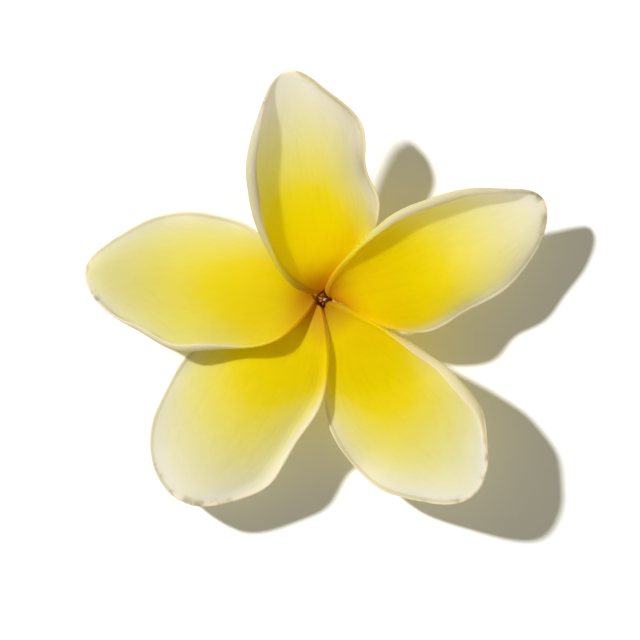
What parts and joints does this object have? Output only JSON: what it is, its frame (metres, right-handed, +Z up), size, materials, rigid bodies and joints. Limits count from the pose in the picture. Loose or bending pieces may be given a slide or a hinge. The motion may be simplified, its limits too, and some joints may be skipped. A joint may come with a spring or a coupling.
{
  "type": "plumeria flower",
  "caption": "Open plumeria blossom with broad rounded petals that overlap like a pinwheel, rolled petal edges, a narrow throat and a slender bent tube beneath.",
  "frame": {"origin": "bottom centre of the box round the blossom, on the surface it lies on", "axes": "+Z up, out of the open face of the flower; +Y towards the top petal; +X towards the right petal"},
  "size_m": [0.0748, 0.0698, 0.0185],
  "materials": {
    "petal": "waxy living petal, deep yellow at the heart and cream at the edges",
    "tube": "waxy pale green-yellow corolla tube",
    "stamen": "dry pale anthers and filaments"
  },
  "bodies": {
    "root": {"petal_top": "petal", "petal_right": "petal", "petal_lower_right": "petal", "petal_lower_left": "petal", "petal_left": "petal", "corolla_tube": "tube", "stamens": "stamen"}
  },
  "joints": []
}
